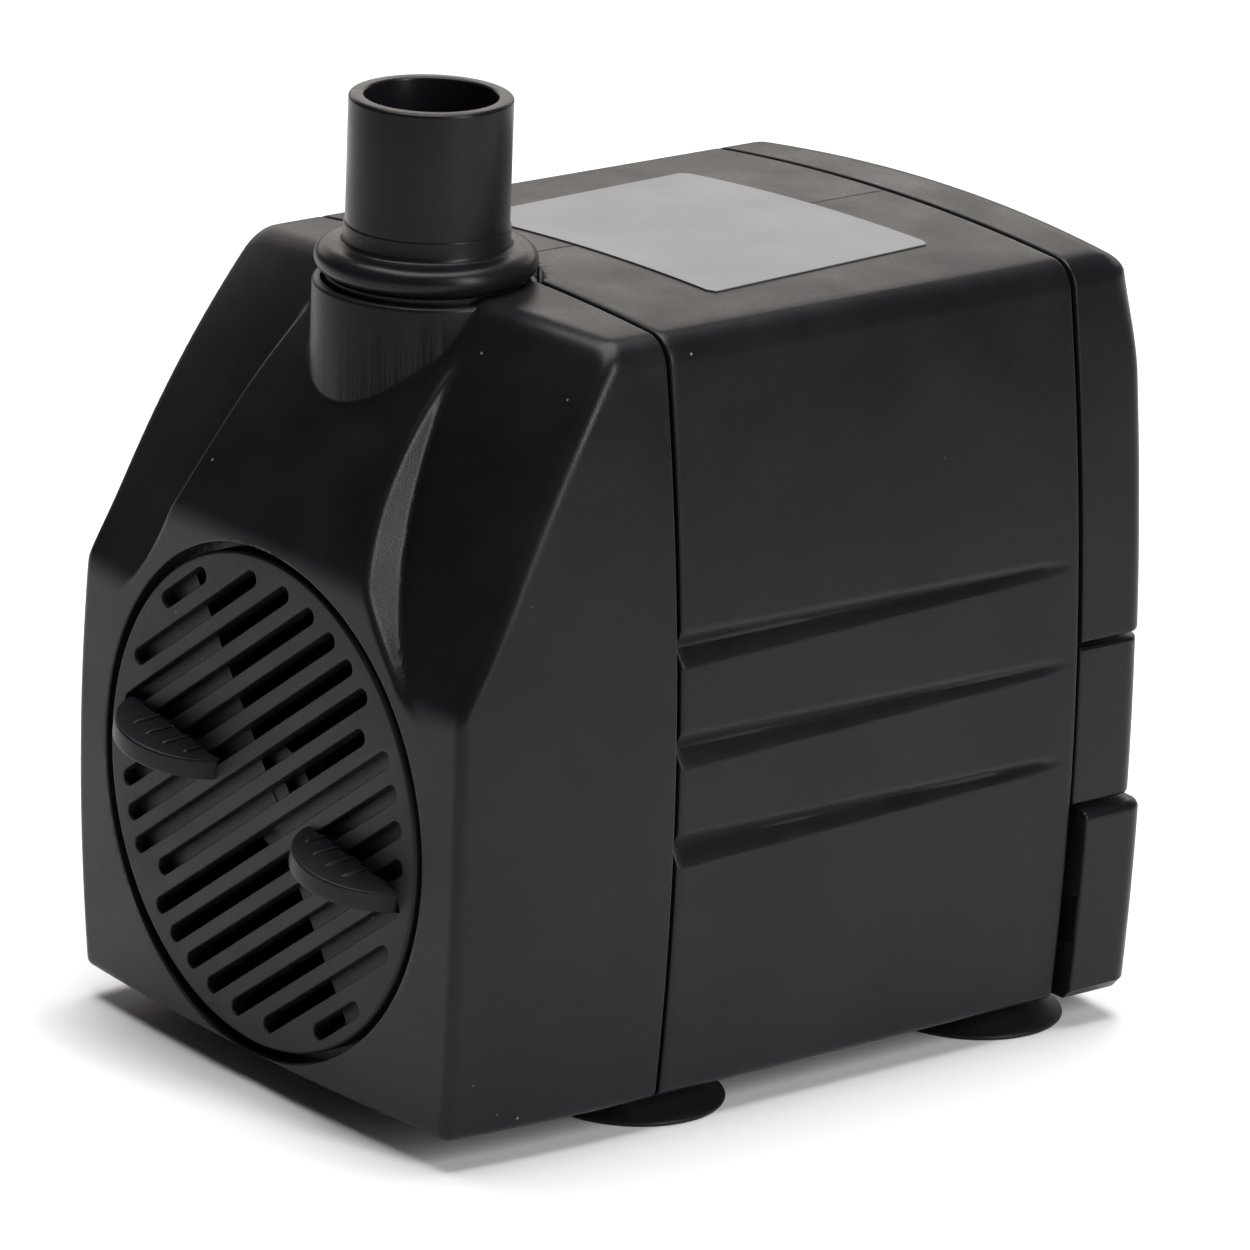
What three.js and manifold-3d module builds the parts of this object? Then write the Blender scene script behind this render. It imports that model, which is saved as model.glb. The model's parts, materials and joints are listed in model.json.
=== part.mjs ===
// Fountain submersible pump: magnet-drive pump with a rotary intake dial and a straight hose nozzle.
// Millimetres, +Z up, the intake dial faces -Y. Inside this file lengths are measured from the seam between
// the front cover and the motor housing (Y = 0) and from the underside of the casing (Z = 0). The group then
// moves the whole pump so that its origin is the middle of the footprint, on the surface it stands on.

import * as THREE from "three";
import { mergeVertices } from "three/addons/utils/BufferGeometryUtils.js";
import Module from "manifold-3d";

const wasm = await Module();
wasm.setup();

// ---------------------------------------------------------------- driving dimensions

const CASING = {
  height: 77.1,        // underside to the middle of the crowned top
  halfWidth: 32.75,    // at the widest level
  widestAt: 27,        // height of the widest level
  barrel: 0.00185,     // the sides fall away from that level with the square of the distance
  crown: 0.0018,       // the top falls away from the middle with the square of the distance
  topRadius: 2.5,      // between the sides and the top
  topStart: 74,        // level where the sides begin to round over
  bottomRadius: 1,
  wall: 2.2,
};
const FRONT = {
  face: -26.2,         // middle of the front face
  corner: -25.4,       // front face at its side edges
  edgeRadius: 1,
  narrowing: 1.6,      // how much each side draws in at the front
  wall: 2,
};
const REAR = { seam: 51.1, corner: 59.8, middle: 61.3, edgeRadius: 2 };
const SEAM_GAP = 0.4;
const FLOOR_CLEARANCE = 3.2;
const FIT = 0.3;       // running gap between separate pieces

// Side profile of the shoulders at the casing's sides: an arc of [y, z] points, front face to top.
// Seen from above the shoulders bow forwards in the middle, the more the higher.
const SHOULDER = { start: [-25.2, 40.9], end: [-5.5, 76.3], radius: 125, halfWidth: 40, bowHalfWidth: 29,
  bowLevel: 42.5, bow: 1, bowGain: 0.105 };
// Side profile of the raised ridge in the middle. Its flanks flare towards the foot and lean outwards.
const RIDGE = { start: [-25.6, 52.4], end: [-5.5, 76.9], radius: 53, bowHalfWidth: 15, bow: 0.5, waist: 11.2,
  flare: 8.9, foot: 45, taper: 11, lean: 0.2, lowest: 43, highest: 78, levels: 11 };

const OUTLET = { y: -7.3, bossRadius: 11.06, bossTop: 76.5, bossBottom: 64, bossBore: 10.2, bossCore: 8.6,
  bossFloor: 70.5 };
const NOZZLE = { radius: 8, bore: 6.5, top: 94.8, flangeRadius: 10.93, flangeLevel: 78.6, flangeHeight: 2.8,
  collar: 9.85, collarBottom: 71, spigot: 5.6, spigotBore: 4, bottom: 61.5 };
const DUCT = { radius: 5.6, bore: 4, socketRadius: 6.95, socketBore: 5.95, socketFloor: 60.5, top: 69.8 };

const DIAL = { z: 26.1, radius: 25.1, recessRadius: 25.7, face: -25.7, thickness: 2.1, floorDepth: 1.5,
  edge: 0.5, stem: 3 };
const SLOT = { count: 15, pitch: 3.245, width: 1.65, angle: 35.7, reach: 22.8, middleReach: 20 };
const GRIP = { middle: 14.9, length: 15, height: 5.3, thickness: 2.1, angle: -9.5, root: 0.8 };
const SHUTTER = { face: -23.2, thickness: 1.6, inner: 5.5, outer: 22.8, early: 7 };

const CHAMBER = { front: -13, rear: -0.6, radius: 17, bore: 14.5, wall: 1.6, eye: 7 };
const ROTOR = { bladeRadius: 12.8, magnetRadius: 6.4, magnetStart: 1.8, magnetEnd: 33, shaft: 1.2 };
const WELL = { bore: 7.4, radius: 9, end: 40, floor: 38 };
const STATOR = { inner: 9.6, outer: 19.6, front: 9, back: 31, bottom: 14, window: 58, top: 69 };
const COIL = { bottom: 36, top: 56.2, flange: 1.2, bobbinWall: 0.9, depth: 4.4 };

const CUP = { radius: 9.2, frontY: 4.2, rearY: 48.2, x: 22.4, stem: 2.6 };
const FLUTE = { levels: [46.2, 36, 25.9], height: 3.4, depth: 1.1, length: 49, endShare: 0.35 };
const LABEL = { width: 35.5, depth: 29.5, centre: [0.7, 26], turn: 4.3, thickness: 0.25, lift: 0.18 };
const SCREWS = [[-25, 66], [25, 66], [-26.3, 8], [26.3, 8]];
const SCREW = { hole: 1.7, head: 3, headLevel: 56.6, post: 3.4 };

// Levels where the three pieces of the rear end part, and how far the lowest stands proud of the others.
const LEVELS = { capBottom: 38, panelTop: 37.4, panelBottom: 20.9, skirtTop: 20.4 };
const SKIRT = { proud: 1.2, rearShare: 0.4 };
const GLAND = { z: 28.85, neck: 4.2, flange: 5.5, bore: 3, outer: 62.1, inner: 56.8, flangeEnd: 58.3 };
const LEAD = { x: 3.4, z: 58.5, radius: 0.9 };

// ---------------------------------------------------------------- materials

const paint = (color, roughness, metalness = 0) => (
  new THREE.MeshStandardMaterial({ color, roughness, metalness }));
const BLACK_SHELL = paint(0x2a2a2f, 0.45);
const BLACK_DIAL = paint(0x333338, 0.5);
const BLACK_INNER = paint(0x202024, 0.55);
const RUBBER = paint(0x1a1a1c, 0.8);
const LABEL_FILM = paint(0xcdccd6, 0.5);
const STEEL = paint(0xb4b8bc, 0.3, 1);
const CORE_STEEL = paint(0x6c7076, 0.5, 0.9);
const COPPER = paint(0xb4672e, 0.35, 0.9);
const FERRITE = paint(0x3a3b3d, 0.55, 0.3);
const CERAMIC = paint(0xe8e6df, 0.25);
const BOBBIN_PLASTIC = paint(0xd8d4c4, 0.5);
const RESIN = paint(0x17181a, 0.3);

// ---------------------------------------------------------------- solids from three.js geometry

function toSolid(geometry) {
  const bare = geometry.clone();
  bare.deleteAttribute("normal");
  bare.deleteAttribute("uv");
  const merged = mergeVertices(bare, 1e-4);
  const vertProperties = Float32Array.from(merged.attributes.position.array);
  const triVerts = Uint32Array.from(merged.index.array);
  return new wasm.Manifold(new wasm.Mesh({ numProp: 3, vertProperties, triVerts }));
}

function toGeometry(solid) {
  const mesh = solid.getMesh();
  const geometry = new THREE.BufferGeometry();
  geometry.setAttribute("position", new THREE.BufferAttribute(Float32Array.from(mesh.vertProperties), 3));
  geometry.setIndex(new THREE.BufferAttribute(Uint32Array.from(mesh.triVerts), 1));
  geometry.computeVertexNormals();
  return geometry;
}

const united = (solids) => solids.reduce((sum, solid) => sum.add(solid));

// A block between two corners.
function block([x0, y0, z0], [x1, y1, z1]) {
  const box = new THREE.BoxGeometry(x1 - x0, y1 - y0, z1 - z0);
  return toSolid(box.translate((x0 + x1) / 2, (y0 + y1) / 2, (z0 + z1) / 2));
}

// A turned piece from [radius, height] points. Its axis is Z, or Y when the height runs along +Y.
function turned(profile, segments, axis = "z") {
  const points = profile.map(([radius, height]) => new THREE.Vector2(radius, height));
  const lathe = new THREE.LatheGeometry([...points, points[0].clone()], segments);
  return toSolid(axis === "z" ? lathe.rotateX(Math.PI / 2) : lathe);
}

function rod(radius, from, to, segments, axis = "z") {
  return turned([[0, from], [radius, from], [radius, to], [0, to]], segments, axis);
}

function tube(radius, bore, from, to, segments, axis = "z") {
  return rod(radius, from, to, segments, axis).subtract(rod(bore, from - 1, to + 1, segments, axis));
}

// A round-section ring.
function ring(radius, thickness, level, segments, axis = "z") {
  const sides = 6;
  const profile = [];
  for (let i = 0; i < sides; i += 1) {
    const turn = (i / sides) * 2 * Math.PI;
    profile.push([radius + thickness * Math.cos(turn), level + thickness * Math.sin(turn)]);
  }
  return turned(profile, segments, axis);
}

// An outline of [x, z] points, swept along Y.
function sweptY(outline, from, to) {
  const shape = new THREE.Shape(outline.map(([x, z]) => new THREE.Vector2(x, z)));
  const geometry = new THREE.ExtrudeGeometry(shape, { depth: to - from, bevelEnabled: false, steps: 1 });
  return toSolid(geometry.rotateX(Math.PI / 2).translate(0, to, 0));
}

// Points on an arc of the given radius that bulges to the left of the way from start to end.
function arcPoints([x0, y0], [x1, y1], radius, steps) {
  const chord = Math.hypot(x1 - x0, y1 - y0);
  const half = Math.asin(chord / 2 / radius);
  const drop = radius * Math.cos(half);
  const [ux, uy] = [(x1 - x0) / chord, (y1 - y0) / chord];
  const centre = [(x0 + x1) / 2 + uy * drop, (y0 + y1) / 2 - ux * drop];
  const points = [];
  for (let i = 0; i <= steps; i += 1) {
    const turn = half * (1 - (2 * i) / steps);
    const along = -radius * Math.sin(turn);
    const out = radius * Math.cos(turn);
    points.push([centre[0] + ux * along - uy * out, centre[1] + uy * along + ux * out]);
  }
  return points;
}

// A solid through closed rings of equal point count, with a fan to a middle point at each end.
function lofted(rings, startPoint, endPoint) {
  const count = rings[0].length;
  const positions = [...rings.flat(2), ...startPoint, ...endPoint];
  const start = rings.length * count;
  const index = [];
  for (let i = 0; i < count; i += 1) {
    const next = (i + 1) % count;
    for (let r = 0; r + 1 < rings.length; r += 1) {
      const [a, b] = [r * count + i, r * count + next];
      index.push(a, a + count, b, b, a + count, b + count);
    }
    const last = (rings.length - 1) * count;
    index.push(start, i, next);
    index.push(start + 1, last + next, last + i);
  }
  const geometry = new THREE.BufferGeometry();
  geometry.setAttribute("position", new THREE.BufferAttribute(Float32Array.from(positions), 3));
  geometry.setIndex(index);
  return toSolid(geometry);
}

// ---------------------------------------------------------------- the casing's cross-section

const sideAt = (z) => CASING.halfWidth - CASING.barrel * (z - CASING.widestAt) ** 2;
const topAt = (x) => CASING.height - CASING.crown * x * x;

// The casing's outline as [x, z] points, drawn in by an inset and narrowed on each side.
function section(inset = 0, narrowing = 0) {
  const bottom = CASING.bottomRadius;
  const half = [[15, inset]];
  half.push([sideAt(0) - inset - narrowing - bottom, inset]);
  half.push([sideAt(bottom) - inset - narrowing, inset + bottom]);
  for (const z of [14, 27, 40, 54, 67]) {
    half.push([sideAt(z) - inset - narrowing, z]);
  }
  const centreX = sideAt(CASING.topStart) - narrowing - CASING.topRadius;
  const centreZ = topAt(centreX) - CASING.topRadius;
  const radius = CASING.topRadius - inset;
  for (let i = 0; i <= 5; i += 1) {
    const turn = (i / 5) * (Math.PI / 2);
    half.push([centreX + radius * Math.cos(turn), centreZ + radius * Math.sin(turn)]);
  }
  half.push([centreX / 2, topAt(centreX / 2) - inset]);
  const mirrored = half.map(([x, z]) => [-x, z]).reverse();
  return [[0, inset], ...half, [0, topAt(0) - inset], ...mirrored];
}

const sectionAt = (y, inset, narrowing) => section(inset, narrowing).map(([x, z]) => [x, y, z]);
const narrowingAt = (y) => FRONT.narrowing * (y / FRONT.corner) ** 2;

// ---------------------------------------------------------------- front cover

// A ring near the front face, which bulges forwards in the middle. Its outline may be shrunk to a share.
function faceRing(inset, behind, share = 1) {
  const middle = CASING.height / 2;
  return section(inset, FRONT.narrowing).map(([x, z]) => {
    const bulge = (FRONT.face - FRONT.corner) * (1 - (share * x / CASING.halfWidth) ** 2);
    return [share * x, FRONT.corner + bulge + behind, middle + share * (z - middle)];
  });
}

// Outer form of the cover before the shoulders are cut, or its hollow when an inset is given.
function coverBlank(inset = 0) {
  const back = inset > 0 ? 1 : -SEAM_GAP / 2;
  const round = inset > 0 ? 0.5 : FRONT.edgeRadius;
  const rings = [
    faceRing(inset + 0.9 * round, inset, 0.6),
    faceRing(inset + 0.9 * round, inset),
    faceRing(inset + 0.3 * round, inset + 0.3 * round),
    faceRing(inset, inset + round),
    sectionAt(-16, inset, narrowingAt(-16)),
    sectionAt(-8, inset, narrowingAt(-8)),
    sectionAt(back, inset, 0),
  ];
  const middle = CASING.height / 2;
  return lofted(rings, [0, FRONT.face + inset, middle], [0, back, middle]);
}

// How far the shoulders and the ridge bow forwards at a place.
const shoulderBow = (x, z) => (
  (SHOULDER.bow + SHOULDER.bowGain * (z - SHOULDER.bowLevel)) * (1 - (x / SHOULDER.bowHalfWidth) ** 2));
const ridgeBow = (x) => RIDGE.bow * (1 - (x / RIDGE.bowHalfWidth) ** 2);

// Everything behind a side profile that bows forwards in the middle, moved inwards by an inset.
function behindProfile(profile, bow, inset) {
  const arc = arcPoints(profile.start, profile.end, profile.radius, 7);
  const top = CASING.height;
  const front = [...arc, [profile.end[0] + 1.5, top + 0.7]].reverse();
  const stations = [];
  for (let x = SHOULDER.halfWidth; x >= -SHOULDER.halfWidth; x -= 5) {
    const curved = front.map(([y, z]) => [x, y + inset - bow(x, z), z - inset]);
    const foot = curved[curved.length - 1];
    stations.push([[x, 5, -5], [x, 5, top + 5], [x, 0, top + 5], ...curved, [x, foot[1] - 6, foot[2] - 1.5],
      [x, -45, -5]]);
  }
  return lofted(stations, [SHOULDER.halfWidth, -5, 20], [-SHOULDER.halfWidth, -5, 20]);
}

// The room between the ridge's two flanks.
function ridgeRoom(inset) {
  const reach = { front: -2, back: 32 };
  const side = [];
  for (let i = 0; i <= RIDGE.levels; i += 1) {
    const z = RIDGE.lowest + ((RIDGE.highest - RIDGE.lowest) * i) / RIDGE.levels;
    const share = (z - RIDGE.start[1]) / (RIDGE.end[1] - RIDGE.start[1]);
    const crest = RIDGE.start[0] + (RIDGE.end[0] - RIDGE.start[0]) * Math.max(share, 0);
    const flare = RIDGE.flare * Math.exp(-(z - RIDGE.foot) / RIDGE.taper);
    side.push({ z, crest, half: RIDGE.waist + flare - inset });
  }
  side.unshift({ ...side[0], z: RIDGE.lowest - 5 });
  const rings = Object.values(reach).map((depth) => {
    const right = side.map(({ z, crest, half }) => [half + RIDGE.lean * depth, crest + depth, z]);
    return [...right, ...right.map(([x, y, z]) => [-x, y, z]).reverse()];
  });
  return lofted(rings, [0, -40, 60], [0, 30, 60]);
}

function coverForm(inset) {
  const shoulders = behindProfile(SHOULDER, shoulderBow, inset);
  const ridge = behindProfile(RIDGE, ridgeBow, inset).intersect(ridgeRoom(inset));
  return coverBlank(inset).intersect(shoulders.add(ridge));
}

const atDial = (solid) => solid.translate(0, 0, DIAL.z);
const atOutlet = (solid) => solid.translate(0, OUTLET.y, 0);

// A quarter of a disc between two radii, starting at the given angle, as a solid along Y. It may start early,
// by an angle at its outer radius.
function quarterWindow(startDegrees, early, inner, outer, from, to) {
  const outline = [];
  const steps = 8;
  const margin = 4;
  const arcAt = (radius, start, end, i) => {
    const turn = THREE.MathUtils.degToRad(startDegrees + start + (i / steps) * (end - start));
    outline.push([radius * Math.cos(turn), radius * Math.sin(turn)]);
  };
  for (let i = 0; i <= steps; i += 1) {
    arcAt(outer, margin - early, 90 - margin, i);
  }
  for (let i = steps; i >= 0; i -= 1) {
    arcAt(inner, 2 * (margin - early), 90 - 2 * margin, i);
  }
  return sweptY(outline, from, to);
}

function frontCover() {
  const shell = coverForm(0).subtract(coverForm(FRONT.wall));
  const back = SHUTTER.face + SHUTTER.thickness;
  const recessWall = atDial(rod(DIAL.recessRadius + 1.4, -28, back, 48, "y")).intersect(coverForm(0.3));
  const boss = atOutlet(rod(OUTLET.bossRadius, OUTLET.bossBottom, OUTLET.bossTop, 40));
  const bossCore = atOutlet(rod(OUTLET.bossCore, 50, OUTLET.bossTop + 1, 32));
  const bossBore = atOutlet(rod(OUTLET.bossBore, OUTLET.bossFloor, OUTLET.bossTop + 1, 32));
  const recess = atDial(rod(DIAL.recessRadius, -40, SHUTTER.face, 48, "y"));
  const pivot = atDial(rod(3.4, -30, 0, 20, "y"));
  const windows = [[SLOT.angle, SHUTTER.early], [SLOT.angle + 180, 0]].map(([start, early]) => (
    atDial(quarterWindow(start, early, SHUTTER.inner, SHUTTER.outer, SHUTTER.face - 1, back + 1))));
  return united([shell, recessWall, boss]).subtract(united([recess, pivot, bossCore, bossBore, ...windows]));
}

// ---------------------------------------------------------------- intake dial

// Half the length of slot number i, counted from the middle one.
function slotReach(i) {
  const across = Math.abs(i) * SLOT.pitch;
  const along = Math.sqrt(SLOT.reach ** 2 - across ** 2);
  return i === 0 ? SLOT.middleReach : Math.max(along, 4.2);
}

// A slot with round ends, turned to the slots' angle.
function slotCutter(i, from, to) {
  const half = SLOT.width / 2;
  const reach = slotReach(i) - half;
  const outline = [];
  for (const end of [1, -1]) {
    for (let k = 0; k <= 4; k += 1) {
      const turn = -Math.PI / 2 + (k / 4) * Math.PI;
      outline.push([end * (reach + half * Math.cos(turn)), i * SLOT.pitch + end * half * Math.sin(turn)]);
    }
  }
  return sweptY(outline, from, to).rotate(0, -SLOT.angle, 0);
}

// The two quarters of the dial whose slots go right through; half of the middle one does too.
function openQuarters(from, to) {
  const size = 40;
  const edge = 0.6;
  const limit = -1;
  const right = block([edge, from, limit], [size, to, size]);
  const left = block([-size, from, -size], [-edge, to, limit]);
  return right.add(left).rotate(0, -SLOT.angle, 0);
}

function intakeDial() {
  const { face, thickness, floorDepth, radius, edge } = DIAL;
  const back = face + thickness;
  const profile = [[0, face], [radius - edge, face], [radius, face + edge], [radius, back], [0, back]];
  const disc = turned(profile, 56, "y");
  const stem = rod(DIAL.stem, back - 0.5, SHUTTER.face + SHUTTER.thickness + 2.2, 20, "y");
  const grips = [0, 180].map((turn) => fingerGrip(turn));
  const cuts = [];
  for (let n = 0; n < SLOT.count; n += 1) {
    const i = n - (SLOT.count - 1) / 2;
    cuts.push(slotCutter(i, face - 1, face + floorDepth));
    cuts.push(slotCutter(i, face, back + 1).intersect(openQuarters(face - 1, back + 2)));
  }
  return atDial(disc.subtract(united(cuts)).add(stem).add(united(grips)));
}

// A finger grip: a domed fin that stands along a radius of the dial.
function fingerGrip(turn) {
  const { middle, length, height, thickness, angle, root } = GRIP;
  const radius = (length ** 2 / 4 + height ** 2) / (2 * height);
  const dome = arcPoints([middle - length / 2, 0], [middle + length / 2, 0], radius, 10);
  const outline = [...dome, [middle + length / 2, -root], [middle - length / 2, -root]];
  const shape = new THREE.Shape(outline.map(([along, out]) => new THREE.Vector2(along, out)));
  const fin = new THREE.ExtrudeGeometry(shape, { depth: thickness, bevelEnabled: false });
  fin.translate(0, 0, -thickness / 2);
  fin.applyMatrix4(new THREE.Matrix4().makeBasis(
    new THREE.Vector3(1, 0, 0), new THREE.Vector3(0, -1, 0), new THREE.Vector3(0, 0, -1)));
  return toSolid(fin).translate(0, DIAL.face, 0).rotate(0, -(angle + turn), 0);
}

// A clip on the end of the dial's stem, behind the cover's shutter plate.
function dialClip() {
  const from = SHUTTER.face + SHUTTER.thickness + FIT;
  return atDial(tube(DIAL.stem + 2, DIAL.stem + 0.15, from, from + 1.1, 20, "y"));
}

// ---------------------------------------------------------------- pump chamber and outlet

function pumpChamber() {
  const { front, rear, radius, bore, wall, eye } = CHAMBER;
  const { z } = DIAL;
  const drum = atDial(rod(radius, front, rear, 28, "y"));
  const hollow = atDial(rod(bore, front + wall, rear + 1, 28, "y"));
  const duct = atOutlet(rod(DUCT.radius, z + bore - 3, DUCT.top - 2, 24));
  const socket = atOutlet(rod(DUCT.socketRadius, DUCT.socketFloor - 1.6, DUCT.top, 28));
  const ductBore = atOutlet(rod(DUCT.bore, z, DUCT.top + 1, 20));
  const socketBore = atOutlet(rod(DUCT.socketBore, DUCT.socketFloor, DUCT.top + 1, 28));
  const suction = atDial(rod(eye, front - 1, front + wall + 1, 24, "y"));
  const hub = atDial(tube(3.2, 1.5, front, front + wall + 0.9, 16, "y"));
  const spokes = [0, 120, 240].map((turn) => (
    atDial(block([2.6, front + 0.1, -0.8], [eye + 1, front + wall - 0.1, 0.8]).rotate(0, turn, 0))));
  const seat = atDial(ring(CHAMBER.radius - 1.25, 0.65, rear, 28, "y"));
  const body = united([drum, duct, socket]).subtract(united([hollow, ductBore, socketBore, suction, seat]));
  return united([body, hub, ...spokes]);
}

const chamberSeal = () => atDial(ring(CHAMBER.radius - 1.25, 0.45, CHAMBER.rear, 28, "y"));

// Straight hose nozzle with a rounded flange, a collar that sits in the boss and a spigot for the duct.
function outletNozzle() {
  const n = NOZZLE;
  const half = n.flangeHeight / 2;
  const low = n.flangeLevel - half;
  const high = n.flangeLevel + half;
  const groove = { low: 64.2, high: 65.6, radius: 4.9 };
  const profile = [
    [n.spigotBore, n.bottom], [n.spigot, n.bottom], [n.spigot, groove.low], [groove.radius, groove.low],
    [groove.radius, groove.high], [n.spigot, groove.high], [n.spigot, n.collarBottom],
    [n.collar, n.collarBottom], [n.collar, low], [n.flangeRadius - 1, low + 0.1],
    [n.flangeRadius - 0.25, low + 0.6],
    [n.flangeRadius, n.flangeLevel], [n.flangeRadius - 0.4, high - 0.5], [n.flangeRadius - 1.2, high],
    [n.radius + 0.5, high + 0.7], [n.radius + 0.15, high + 1], [n.radius + 0.15, 82.1], [n.radius, 82.25],
    [n.radius, n.top - 0.3], [n.radius - 0.3, n.top], [n.bore, n.top], [n.bore, 76], [n.spigotBore, 73.5],
  ];
  return atOutlet(turned(profile, 30));
}

const nozzleSeal = () => atOutlet(ring(5.35, 0.42, 64.9, 20));

// ---------------------------------------------------------------- motor unit

// Straight tapering flutes along both sides of the housing, deepest at the front seam.
function flutes() {
  const cutters = [];
  for (const level of FLUTE.levels) {
    const x = sideAt(level);
    const half = FLUTE.height * 0.75;
    const outside = x + 0.6;
    const mouth = [[outside, level + half], [x - FLUTE.depth, level], [outside, level - half]];
    const ringAt = (y, share) => mouth.map(([px, pz]) => (
      [outside + (px - outside) * share, y, level + (pz - level) * share]));
    const rings = [ringAt(-1, 1), ringAt(FLUTE.length, FLUTE.endShare)];
    const cutter = lofted(rings, [x, -1, level], [x + 0.3, FLUTE.length, level]);
    cutters.push(cutter, cutter.mirror([1, 0, 0]));
  }
  return united(cutters);
}

const cupPlaces = () => [-1, 1].flatMap((side) => [[side * CUP.x, CUP.frontY], [side * CUP.x, CUP.rearY]]);

function motorHousing() {
  const { wall } = CASING;
  const front = SEAM_GAP / 2;
  const back = REAR.seam - SEAM_GAP / 2;
  const partition = front + 3;
  const middle = CASING.height / 2;
  const prism = (inset, from, to) => lofted(
    [sectionAt(from, inset, 0), sectionAt(to, inset, 0)], [0, from, middle], [0, to, middle]);
  const outer = prism(0, front, back);
  const inner = prism(wall, partition, back + 1);
  const well = atDial(rod(WELL.radius, partition - 0.5, WELL.end, 28, "y"));
  const wellBore = atDial(rod(WELL.bore, -1, WELL.floor, 28, "y"));
  const pocket = atOutlet(rod(OUTLET.bossRadius + 2.2, OUTLET.bossBottom - 2.2, CASING.height - 1, 36));
  const notch = atOutlet(rod(OUTLET.bossRadius + 0.4, OUTLET.bossBottom - 0.4, CASING.height + 1, 36));
  const within = prism(0.6, front, back);
  const posts = SCREWS.map(([x, z]) => rod(4, 40.5, back - 0.4, 16, "y").translate(x, 0, z));
  const postHoles = SCREWS.map(([x, z]) => rod(SCREW.hole, 43, back + 1, 12, "y").translate(x, 0, z));
  const sockets = cupPlaces().map(([x, y]) => rod(4.4, 1, 6.4, 16).translate(x, y, 0));
  const socketBores = cupPlaces().map(([x, y]) => rod(CUP.stem + FIT, -1, 5.2, 16).translate(x, y, 0));
  const fittings = united([well, pocket, ...posts, ...sockets]).intersect(within);
  const cuts = united([wellBore, notch, flutes(), ...postHoles, ...socketBores]);
  return outer.subtract(inner).add(fittings).subtract(cuts);
}

// Laminated U-shaped core: two legs beside the rotor well and a yoke across the top.
function statorCore() {
  const { inner, outer, front, back, bottom, window, top } = STATOR;
  const outline = [[-outer, bottom], [-inner, bottom], [-inner, window], [inner, window], [inner, bottom],
    [outer, bottom], [outer, top], [-outer, top]];
  const packet = sweptY(outline, front, back);
  const joints = [];
  for (let y = front + 3.5; y < back - 1; y += 3.5) {
    joints.push(block([-outer - 1, y, top - 0.4], [outer + 1, y + 0.3, top + 1]));
  }
  return packet.subtract(united(joints));
}

// A square frame round a leg of the core: the shape of the bobbin's tube, its flanges and the winding.
function legFrame(side, margin, thickness, from, to) {
  const { inner, outer, front, back } = STATOR;
  const frame = (extra) => block(
    [inner - extra, front - extra, from - (extra > margin ? 0 : 1)],
    [outer + extra, back + extra, to + (extra > margin ? 0 : 1)]);
  const solid = frame(margin + thickness).subtract(frame(margin));
  return side > 0 ? solid : solid.mirror([1, 0, 0]);
}

function coilBobbin(side) {
  const { bottom, top, flange, bobbinWall, depth } = COIL;
  const sleeve = legFrame(side, FIT, bobbinWall, bottom, top);
  const flanges = [bottom, top - flange].map((z) => legFrame(side, FIT, bobbinWall + depth, z, z + flange));
  return united([sleeve, ...flanges]);
}

function coilWinding(side) {
  const { bottom, top, flange, bobbinWall, depth } = COIL;
  return legFrame(side, FIT + bobbinWall + 0.2, depth - 0.5, bottom + flange + 0.2, top - flange - 0.2);
}

// Cast resin plug that seals the back of the motor.
function pottingResin() {
  const middle = CASING.height / 2;
  const inset = CASING.wall + FIT;
  const [from, to] = [WELL.end + 1, REAR.seam - 2];
  const ends = [from, to].map((y) => sectionAt(y, inset, 0));
  const plug = lofted(ends, [0, from, middle], [0, to, middle]);
  const posts = SCREWS.map(([x, z]) => rod(4 + FIT, from - 1, to + 1, 16, "y").translate(x, 0, z));
  const sockets = cupPlaces().map(([x, y]) => rod(4.4 + FIT, 0, 6.4 + FIT, 16).translate(x, y, 0));
  const wires = [-1, 1].map((side) => (
    rod(LEAD.radius + 0.4, from - 1, to + 1, 10, "y").translate(side * LEAD.x, 0, LEAD.z)));
  return plug.subtract(united([...posts, ...sockets, ...wires]));
}

// ---------------------------------------------------------------- rotor

function impeller() {
  const plate = rod(ROTOR.bladeRadius, -2.6, -1.2, 36, "y");
  const hub = rod(4, -9, ROTOR.magnetStart - FIT, 20, "y");
  const blades = [];
  for (let i = 0; i < 6; i += 1) {
    blades.push(block([3, -8.6, -0.7], [ROTOR.bladeRadius - 0.3, -2, 0.7]).rotate(0, i * 60, 0));
  }
  const bore = rod(ROTOR.shaft + FIT, -12, 6, 16, "y");
  return atDial(united([plate, hub, ...blades]).subtract(bore));
}

function rotorMagnet() {
  return atDial(tube(ROTOR.magnetRadius, ROTOR.shaft + FIT, ROTOR.magnetStart, ROTOR.magnetEnd, 28, "y"));
}

const shaft = () => atDial(rod(ROTOR.shaft, CHAMBER.front + 0.8, WELL.floor - FIT, 14, "y"));
const rearBushing = () => atDial(tube(5.4, ROTOR.shaft + 0.15, 34.6, WELL.floor - FIT, 20, "y"));
const thrustWasher = () => atDial(tube(3.2, ROTOR.shaft + 0.15, 33.4, 34.2, 18, "y"));

// ---------------------------------------------------------------- rear end

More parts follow.
